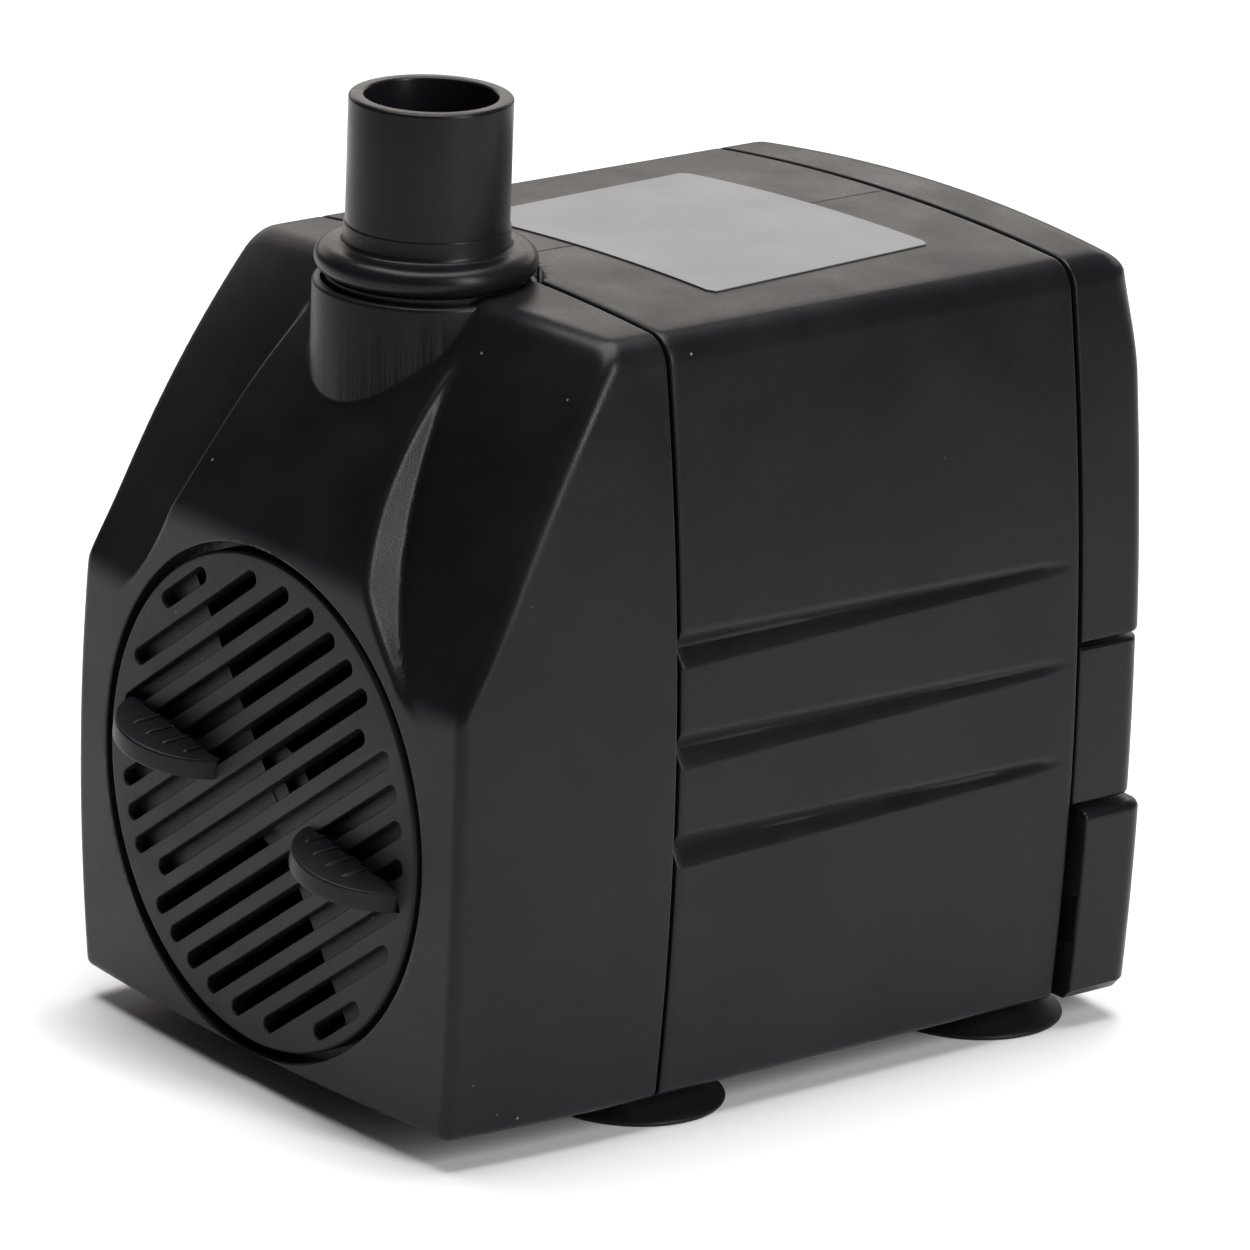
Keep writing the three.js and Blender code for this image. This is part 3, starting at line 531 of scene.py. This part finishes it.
def place_camera():
    """Sets the camera to the right of the dial, a little above, far off with a long lens."""
    back = direction_to(AZIMUTH, ELEVATION)
    right = Vector((math.cos(AZIMUTH), math.sin(AZIMUTH), 0))
    up = back.cross(right)
    right2 = math.cos(ROLL) * right - math.sin(ROLL) * up
    up2 = math.sin(ROLL) * right + math.cos(ROLL) * up
    spot = AIM[0] * right2 + AIM[1] * up2 + DISTANCE * back
    spot = Vector(to_metres([list(spot)])[0])
    data = bpy.data.cameras.new("camera")
    data.lens = FOCAL
    data.sensor_width = 36
    data.clip_start = 0.05
    data.clip_end = 50
    camera = bpy.data.objects.new("camera", data)
    bpy.context.scene.collection.objects.link(camera)
    camera.matrix_world = Matrix((
        (right2.x, up2.x, back.x, spot.x),
        (right2.y, up2.y, back.y, spot.y),
        (right2.z, up2.z, back.z, spot.z),
        (0, 0, 0, 1)))
    bpy.context.scene.camera = camera


place_camera()

# ------------------------------------------------------------------ front cover

COVER_XS = spaced((-33.6, -29, 0.35), (-29, -22, 0.7), (-22, 22, 0.33), (22, 29, 0.7), (29, 33.6, 0.35))
COVER_YS = -spaced((SEAM + CLEAR, 0.7, 0.1), (0.7, 3, 0.5), (3, 22, 0.7), (22, 27.4, 0.35))
COVER_ZS = spaced((-0.6, 3, 0.35), (3, 39, 0.9), (39, 78, 0.33))
COARSE_XS = spaced((-33.6, 33.6, 1.2))
COARSE_YS = -spaced((SEAM + CLEAR, 27.4, 1.2))
COARSE_ZS = spaced((-0.6, 78, 1.2))
RECESS_RADIUS = 25.8
RECESS_FLOOR = -23.2
RECESS_LIP = 0.22                            # radius of the recess's flared mouth
BEFORE_FACE = -30                            # a level in front of everything
DUCT_RADIUS = 8.6
SOCKET_RADIUS = 10.2                         # the nozzle's collar stands in this
SOCKET_FLOOR = 70.5


def recess_cutter():
    """Cutter for the dial's recess, its mouth flared where it meets the bulged face."""
    segments = 180
    lip_steps = 6
    turns = [2 * math.pi * s / segments for s in range(segments)]
    mouth = [face_y(RECESS_RADIUS * math.cos(t), DIAL_Z + RECESS_RADIUS * math.sin(t)) for t in turns]

    def ring(radius, levels):
        return [(radius * math.cos(t), level, DIAL_Z + radius * math.sin(t))
                for t, level in zip(turns, levels)]

    rings = [ring(RECESS_RADIUS, [level] * segments) for level in (RECESS_FLOOR, -25.0)]
    for k in range(lip_steps + 1):
        sweep = math.radians(90 * k / lip_steps)
        out = RECESS_RADIUS + RECESS_LIP * (1 - math.cos(sweep))
        drop = RECESS_LIP * (1 - math.sin(sweep))
        rings.append(ring(out, [face + drop for face in mouth]))
    rings.append(ring(RECESS_RADIUS + RECESS_LIP + 0.6, [BEFORE_FACE] * segments))
    points = [(0.0, RECESS_FLOOR, DIAL_Z)]
    for row in rings:
        points += row
    points.append((0.0, BEFORE_FACE, DIAL_Z))
    last = 1 + (len(rings) - 1) * segments
    faces = []
    for s in range(segments):
        n = (s + 1) % segments
        faces.append([0, 1 + s, 1 + n])
        for r in range(len(rings) - 1):
            a = 1 + r * segments
            b = a + segments
            faces.append([a + s, b + s, b + n, a + n])
        faces.append([last + s, len(points) - 1, last + n])
    obj = new_object("recess", points, faces)
    outward(obj)
    return obj


def front_cover():
    """Fine outer skin of the cover, joined to the inner part of the CAD node."""
    centre = (0, -SEAM - CLEAR, RAY_START_Z)
    skin = cast("skin", cover_form, centre, COVER_XS, COVER_YS, COVER_ZS)
    hollow = cast("hollow", cover_form, centre, COARSE_XS, COARSE_YS, COARSE_ZS, level=-1.2, tail=2)
    combine(skin, hollow, "DIFFERENCE")
    keep = cast("keep", cover_form, centre, COARSE_XS, COARSE_YS, COARSE_ZS, level=-0.9, tail=0.1)
    combine(skin, inner_part("front_cover", keep), "UNION")
    socket = [(0, SOCKET_FLOOR), (SOCKET_RADIUS, SOCKET_FLOOR), (SOCKET_RADIUS, 79), (0, 79)]
    combine(skin, lathe("socket", socket, 144, OUTLET), "DIFFERENCE")
    duct = [(0, 50), (DUCT_RADIUS, 50), (DUCT_RADIUS, 72), (0, 72)]
    combine(skin, lathe("duct", duct, 72, OUTLET), "DIFFERENCE")
    boss = [(DUCT_RADIUS, 64.5), (11.06, 64.5)] + arc((10.56, 76.0), 0.5, 0, 90, 7)
    boss += arc((10.35, 76.35), 0.15, 90, 180, 4)
    boss += [(SOCKET_RADIUS, SOCKET_FLOOR), (DUCT_RADIUS, SOCKET_FLOOR)]
    combine(skin, lathe("boss", boss, 144, OUTLET), "UNION")
    combine(skin, recess_cutter(), "DIFFERENCE")
    finish_piece(skin, "cover_shell", "cover", ["front_cover"], SHELL)


# ------------------------------------------------------------------ motor housing

NOTCH_RADIUS = 11.46                         # clears the cover's boss


def motor_housing():
    """Fine outer skin of the motor housing, joined to the inner part of the CAD node."""
    xs = spaced((-33.4, -27, 0.35), (-27, -0.4, 1.2), (-0.4, 0.4, 0.08), (0.4, 27, 1.2), (27, 33.4, 0.35))
    zs = spaced((-0.6, 3, 0.35), (3, 22, 1.5), (22, 49, 0.3), (49, 68, 1.5), (68, 77.8, 0.35))
    edge = [SEAM + 0.0002, SEAM + 0.02, SEAM + 0.07, SEAM + 0.15, SEAM + 0.3]
    back = [REAR_SEAM - v for v in edge[::-1]]
    ys = np.array(edge + list(spaced((1.2, 50.2, 1.0))) + back)
    middle = np.array([0, RAY_START_Z])
    skin = sleeve("skin", housing_form, middle, xs, ys, zs)
    few_xs = spaced((-33.4, 33.4, 1.5))
    few_zs = spaced((-0.6, 77.8, 1.5))

    def straight(x, y, z):
        """The housing without its flutes, the same all the way along."""
        side = side_form(x, np.zeros_like(y), z) + 1.1
        return smooth_max(smooth_max(side, top_form(x, y, z), 3.6), -z, 1.0)

    hollow = sleeve("hollow", straight, middle, few_xs, np.array([-1.0, 53.0]), few_zs, level=-1.0)
    combine(skin, hollow, "DIFFERENCE")
    keep = sleeve("keep", straight, middle, few_xs, np.array([-0.5, 52.0]), few_zs, level=-0.7)
    combine(skin, inner_part("motor_housing", keep), "UNION")
    notch = [(0, 63.6), (NOTCH_RADIUS, 63.6), (NOTCH_RADIUS, 80), (0, 80)]
    combine(skin, lathe("notch", notch, 144, OUTLET), "DIFFERENCE")
    foot_hole = [(0, -2), (2.9, -2), (2.9, 3), (0, 3)]
    for x, y in CUPS:
        combine(skin, lathe("foot_hole", foot_hole, 40, (x, y, 0)), "DIFFERENCE")
    finish_piece(skin, "housing_shell", "motor", ["motor_housing"], SHELL)


# ------------------------------------------------------------------ rear end

REAR_XS = spaced((-34.6, -29, 0.4), (-29, 29, 1.4), (29, 34.6, 0.4))
COARSE_REAR_XS = spaced((-34.6, 34.6, 1.5))
REAR_LIMIT = 62.6
HIGHEST = 77.4


def rear_piece(node, low, high, proud, start, rim):
    """Fine outer skin of one piece of the rear end, joined to the inner part of its CAD node."""
    form = rear_form(low, high, proud, start, rim)
    top = min(high, HIGHEST)
    front = start + CLEAR
    zs = spaced((low - 0.6, low + 3, 0.35), (low + 3, top - 6, 1.4), (top - 6, top + 0.6, 0.35))
    ys = spaced((front, start + 0.5, 0.1), (start + 0.5, start + 3, 0.8), (start + 3, REAR_LIMIT, 0.4))
    few_ys = spaced((front, REAR_LIMIT, 1.2))
    few_zs = spaced((low - 0.6, top + 0.6, 1.2))
    centre = (0, front, (low + min(high, 77)) / 2)
    skin = cast(node + "_skin", form, centre, REAR_XS, ys, zs)
    hollow = cast("hollow", form, centre, COARSE_REAR_XS, few_ys, few_zs, level=-1.0, tail=-2)
    combine(skin, hollow, "DIFFERENCE")
    keep = cast("keep", form, centre, COARSE_REAR_XS, few_ys, few_zs, level=-0.7, tail=-0.1)
    combine(skin, inner_part(node, keep), "UNION")
    return skin


def rear_end():
    """The rear cap, the panel below it and the skirt, with the screws' seats and the cord bush's hole."""
    cap = rear_piece("rear_cap", 38.0, 99, 0, REAR_SEAM + SEAM, 0.35)
    panel = rear_piece("cord_panel", 20.9, 37.4, -0.2, REAR_SEAM + SEAM, 0.35)
    skirt = rear_piece("base_skirt", -9, 20.4, 1.13, REAR_SEAM + 1, 0.9)
    seat = [(0, 50), (1.7, 50), (1.7, 56.6), (3, 56.6), (3, 59.6), (3, 70), (0, 70)]
    for x, z in SCREWS:
        piece = cap if z > 40 else skirt
        combine(piece, lathe("seat", seat, 48, (x, 0, z), "y"), "DIFFERENCE")
    bush_hole = [(0, 50), (4.5, 50), (4.5, 70), (0, 70)]
    combine(panel, lathe("bush_hole", bush_hole, 64, (0, 0, 28.85), "y"), "DIFFERENCE")
    finish_piece(cap, "rear_cap_shell", "motor", ["rear_cap"], SHELL)
    finish_piece(panel, "cord_panel_shell", "motor", ["cord_panel"], SHELL)
    finish_piece(skirt, "base_skirt_shell", "motor", ["base_skirt"], SHELL)


# ------------------------------------------------------------------ outlet nozzle

SPIGOT = 5.6
SEAL_GROOVE = 4.9
COLLAR = 9.85
TUBE = 8.0
BORE = 6.5


def outlet_nozzle():
    """The nozzle: spigot with its seal's groove, collar, rounded flange and plain tube."""
    profile = [(4, 61.5), (SPIGOT, 61.5), (SPIGOT, 64.2), (SEAL_GROOVE, 64.2), (SEAL_GROOVE, 65.6)]
    profile += [(SPIGOT, 65.6), (SPIGOT, 71), (COLLAR, 71), (COLLAR, 77.0), (9.6, 77.2)]
    profile += arc((9.53, 78.6), 1.4, -90, 90, 13)
    profile += arc((8.75, 80.6), 0.6, 270, 180, 5)
    profile += [(8.15, 82.0)] + arc((8.05, 82.05), 0.1, 0, 90, 3) + [(TUBE, 82.15), (TUBE, 94.4)]
    profile += arc((7.65, 94.45), 0.35, 0, 90, 6) + arc((6.75, 94.55), 0.25, 90, 180, 5)
    profile += [(BORE, 76), (4, 73.5)]
    piece = lathe("nozzle", profile, 160, OUTLET)
    finish_piece(piece, "hose_nozzle", "nozzle", ["outlet_nozzle"], SMOOTH, angle=40)


# ------------------------------------------------------------------ intake dial

SLOT_ANGLE = math.radians(35.7)
SLOT_PITCH = 3.245
SLOT_HALF = 0.825
SLOTS_EACH_WAY = 7                           # on either side of the middle slot
SLOT_LIMIT = 22.8                            # radius that the slots' ends keep to
GRIP_ANGLES = (-9.5, 170.5)
GRIP_LENGTH = 15.0
GRIP_HEIGHT = 5.3
GRIP_MIDDLE = 14.9
GRIP_HALF = 1.05                             # half the width of the flat crest and its soft edges
GRIP_SOFT = 0.3
GRIP_RIBS = ((10.2, 2.6), (12.6, 3.6), (15.0, 4.0), (17.4, 3.6))        # place along the radius, height


def slanted(u, v, y):
    """A point given along (u) and across (v) the dial's slots."""
    cos = math.cos(SLOT_ANGLE)
    sin = math.sin(SLOT_ANGLE)
    return (u * cos - v * sin, y, DIAL_Z + u * sin + v * cos)


def slot_cutter(reach, v, bottom):
    """A round-ended slot as long to both sides; its mouth is flared a little at the dial's face."""
    steps = 8
    layers = [(0.5, DIAL_FACE - 0.5), (0.12, DIAL_FACE - 0.001), (0.04, DIAL_FACE + 0.05)]
    layers += [(0, DIAL_FACE + 0.14), (0, bottom)]
    rows = []
    for grow, y in layers:
        half = SLOT_HALF + grow
        row = []
        for side in (1, -1):
            centre = side * (reach - SLOT_HALF)
            for k in range(steps + 1):
                turn = -math.pi / 2 + math.pi * k / steps
                along = centre + side * half * math.cos(turn)
                row.append(slanted(along, v + side * half * math.sin(turn), y))
        rows.append(row)
    return stack("slot", rows)


def block(low, high):
    """A block in the dial's slanted directions, used only as a cutter."""
    corners = [(u, v, y) for u in (low[0], high[0]) for v in (low[1], high[1]) for y in (low[2], high[2])]
    points = [slanted(u, v, y) for u, v, y in corners]
    faces = [[0, 1, 3, 2], [4, 6, 7, 5], [0, 4, 5, 1], [2, 3, 7, 6], [0, 2, 6, 4], [1, 5, 7, 3]]
    obj = new_object("block", points, faces)
    outward(obj)
    return obj


def grip_point(angle, radial, across, out):
    """A point beside a grip's radius, so far out from the dial's face."""
    cos = math.cos(math.radians(angle))
    sin = math.sin(math.radians(angle))
    return (radial * cos - across * sin, DIAL_FACE - out, DIAL_Z + radial * sin + across * cos)


def grip(angle):
    """A domed fin along a radius of the dial with a narrow flat crest."""
    stations = 41
    dome = (GRIP_LENGTH ** 2 / 4 + GRIP_HEIGHT ** 2) / (2 * GRIP_HEIGHT)
    flat = GRIP_HALF - GRIP_SOFT
    turns = np.radians(range(0, 91, 15))
    section = [(flat + GRIP_SOFT * math.cos(t), GRIP_SOFT - GRIP_SOFT * math.sin(t)) for t in turns]
    section = [(1.3, 6.2)] + section + [(-across, down) for across, down in section[::-1]] + [(-1.3, 6.2)]
    rows = []
    for s in range(stations):
        along = -math.cos(math.pi * s / (stations - 1)) * (GRIP_LENGTH / 2)
        top = math.sqrt(max(dome ** 2 - along ** 2, 0)) - (dome - GRIP_HEIGHT)
        rows.append([grip_point(angle, GRIP_MIDDLE + along, across, max(top - down, -0.8))
                     for across, down in section])
    return stack("grip", rows)


def grip_rib(angle, radial, height):
    """A small rounded rib up the upper side of a grip, from the dial's face towards the crest."""
    steps = 6
    upper = 1 if math.cos(math.radians(angle)) > 0 else -1
    rows = []
    for out, half, proud in ((-0.3, 0.45, 0.75), (height * 0.7, 0.38, 0.6), (height, 0.2, 0.1)):
        row = []
        for k in range(steps + 1):
            turn = math.pi * k / steps
            across = upper * (0.75 + proud * math.sin(turn))
            row.append(grip_point(angle, radial + half * math.cos(turn), across, out))
        rows.append(row)
    return stack("rib", rows)


def intake_dial():
    """The dial: a disc whose slots go right through in two opposite quarters, its stem and its grips."""
    back = DIAL_FACE + 2.1
    floor_level = DIAL_FACE + 1.5
    rim = arc((24.5, DIAL_FACE + 0.45), 0.45, 270, 360, 8)
    profile = [(0, DIAL_FACE)] + rim + [(24.95, back), (0, back)]
    disc = lathe("disc", profile, 200, (0, 0, DIAL_Z), "y")
    slots = []
    for i in range(-SLOTS_EACH_WAY, SLOTS_EACH_WAY + 1):
        v = i * SLOT_PITCH
        slots.append((20 if i == 0 else max(math.sqrt(SLOT_LIMIT ** 2 - v ** 2), 4.2), v))
    for reach, v in slots:
        combine(disc, slot_cutter(reach, v, floor_level), "DIFFERENCE")
    through = slot_cutter(*slots[0], back + 1)
    for reach, v in slots[1:]:
        combine(through, slot_cutter(reach, v, back + 1), "UNION")
    right = block((0.6, -1, DIAL_FACE - 2), (40, 40, back + 3))
    left = block((-40, -40, DIAL_FACE - 2), (-0.6, -1, back + 3))
    combine(right, left, "UNION")
    combine(through, right, "INTERSECT")
    combine(disc, through, "DIFFERENCE")
    stem = [(0, back - 0.5), (3, back - 0.5), (3, -19.4), (0, -19.4)]
    combine(disc, lathe("stem", stem, 48, (0, 0, DIAL_Z), "y"), "UNION")
    for angle in GRIP_ANGLES:
        combine(disc, grip(angle), "UNION")
        for radial, height in GRIP_RIBS:
            combine(disc, grip_rib(angle, radial, height), "UNION")
    finish_piece(disc, "dial_plate", "dial", ["intake_dial"], DIAL)


# ------------------------------------------------------------------ suction feet, label, inner nodes

def suction_feet():
    """Four round feet: a thin hollow lip on the floor and a stud up into the housing's floor."""
    profile = [(0, FLOOR + 1.5), (4.5, FLOOR + 1.1), (8.1, FLOOR + 0.02)]
    profile += arc((8.95, FLOOR + 0.25), 0.25, 270, 450, 7)
    profile += [(7.6, FLOOR + 1.0), (6.4, FLOOR + 1.7), (5.2, -0.75), (3.2, -0.3)]
    profile += [(2.6, -0.3), (2.6, 4.6), (0, 4.6)]
    for i, (x, y) in enumerate(CUPS):
        piece = lathe("foot", profile, 96, (x, y, 0))
        node = f"suction_foot_{i + 1}"
        finish_piece(piece, f"suction_cup_{i + 1}", "motor", [node], RUBBER, angle=40)


LABEL_WIDTH = 35.5
LABEL_DEPTH = 29.5
LABEL_MIDDLE = (0.7, 26.0)
LABEL_TURN = math.radians(4.3)
LABEL_CORNER = 0.5
LABEL_LIFT = 0.03
LABEL_THICK = 0.1


def rating_label():
    """A thin film on the crowned top, laid a few degrees out of square."""
    columns = 41
    cos = math.cos(LABEL_TURN)
    sin = math.sin(LABEL_TURN)
    points = []
    for x in np.linspace(-LABEL_WIDTH / 2, LABEL_WIDTH / 2, columns):
        into_corner = max(LABEL_CORNER - LABEL_WIDTH / 2 + abs(x), 0)
        inset = LABEL_CORNER - math.sqrt(max(LABEL_CORNER ** 2 - into_corner ** 2, 0))
        for level in (LABEL_LIFT, LABEL_LIFT + LABEL_THICK):
            for y in (inset - LABEL_DEPTH / 2, LABEL_DEPTH / 2 - inset):
                across = LABEL_MIDDLE[0] + x * cos - y * sin
                along = LABEL_MIDDLE[1] + x * sin + y * cos
                points.append((across, along, level - float(top_form(across, along, 0.0))))
    faces = []
    for a in range(0, 4 * (columns - 1), 4):
        b = a + 4
        faces += [[a, a + 1, b + 1, b], [a + 2, b + 2, b + 3, a + 3]]
        faces += [[a, b, b + 2, a + 2], [a + 1, a + 3, b + 3, b + 1]]
    last = 4 * (columns - 1)
    faces += [[0, 2, 3, 1], [last, last + 1, last + 3, last + 2]]
    piece = new_object("label", points, faces)
    outward(piece)
    finish_piece(piece, "blank_label", "motor", ["rating_label"], LABEL, angle=40)


front_cover()
motor_housing()
rear_end()
outlet_nozzle()
intake_dial()
suction_feet()
rating_label()

# The nodes that no detailed piece stands for keep their CAD mesh and only get a material.
SLOT_MATERIALS = {
    "screw_steel": STEEL, "core_steel": STEEL, "seal_rubber": RUBBER, "inner_plastic": INNER,
    "impeller_plastic": moulded("impeller_white", (0.55, 0.52, 0.44), 0.45, specks=0),
    "bobbin_plastic": moulded("bobbin_white", (0.55, 0.50, 0.38), 0.4, specks=0),
    "wire_insulation": INNER, "resin": SMOOTH,
    "ferrite": moulded("ferrite_grey", (0.05, 0.05, 0.052), 0.5),
    "ceramic": moulded("ceramic_white", (0.75, 0.74, 0.70), 0.2, specks=0, mottle=0.03),
    "copper_wire": moulded("copper_bright", (0.70, 0.32, 0.13), 0.3, specks=0),
}
for row in frame["record"]["subparts"]:
    node = NODES[row["node"]]
    if row["material_slot"] in SLOT_MATERIALS:
        node.data.materials.clear()
        node.data.materials.append(SLOT_MATERIALS[row["material_slot"]])
        node.data.shade_smooth()
        node.data.set_sharp_from_angle(angle=math.radians(30))

# ------------------------------------------------------------------ floor and light

def plain(name, color, roughness=0.6):
    material = bpy.data.materials.new(name)
    material.use_nodes = True
    shader = material.node_tree.nodes["Principled BSDF"]
    shader.inputs["Base Color"].default_value = (*color, 1)
    shader.inputs["Roughness"].default_value = roughness
    shader.inputs["Specular IOR Level"].default_value = 0
    return material


def floor():
    """A plain sheet under the feet, wide enough to fill the picture."""
    size = 3000
    points = [(-size, -size, FLOOR), (size, -size, FLOOR), (size, size, FLOOR), (-size, size, FLOOR)]
    obj = new_object("floor", points, [[0, 1, 2, 3]])
    obj.data.materials.append(plain("floor_white", (0.93, 0.93, 0.93)))


LIGHT_TARGET = Vector((0, 0, 0.04))          # in metres


def area_light(name, azimuth, elevation, distance, size, power, color=(1, 1, 1)):
    """A soft rectangular light that looks at the pump, angles in degrees."""
    direction = direction_to(math.radians(azimuth), math.radians(elevation))
    data = bpy.data.lights.new(name, "AREA")
    data.shape = "RECTANGLE"
    data.size = size[0]
    data.size_y = size[1]
    data.energy = power
    data.color = color
    obj = bpy.data.objects.new(name, data)
    bpy.context.scene.collection.objects.link(obj)
    obj.location = LIGHT_TARGET + direction * distance
    obj.rotation_euler = direction.to_track_quat("Z", "Y").to_euler()


floor()
area_light("overhead", 250, 84, 0.7, (0.6, 0.6), 8.2)
area_light("key", 97, 26, 0.8, (0.14, 0.6), 4.6)
area_light("back_wall", 231, 20, 0.9, (1.6, 0.35), 3.0, (1, 0.93, 0.87))

world = bpy.data.worlds.new("world")
bpy.context.scene.world = world
world.use_nodes = True
world.node_tree.nodes["Background"].inputs["Color"].default_value = (1, 1, 1, 1)
world.node_tree.nodes["Background"].inputs["Strength"].default_value = 0.04
bpy.context.scene.view_settings.view_transform = "Standard"
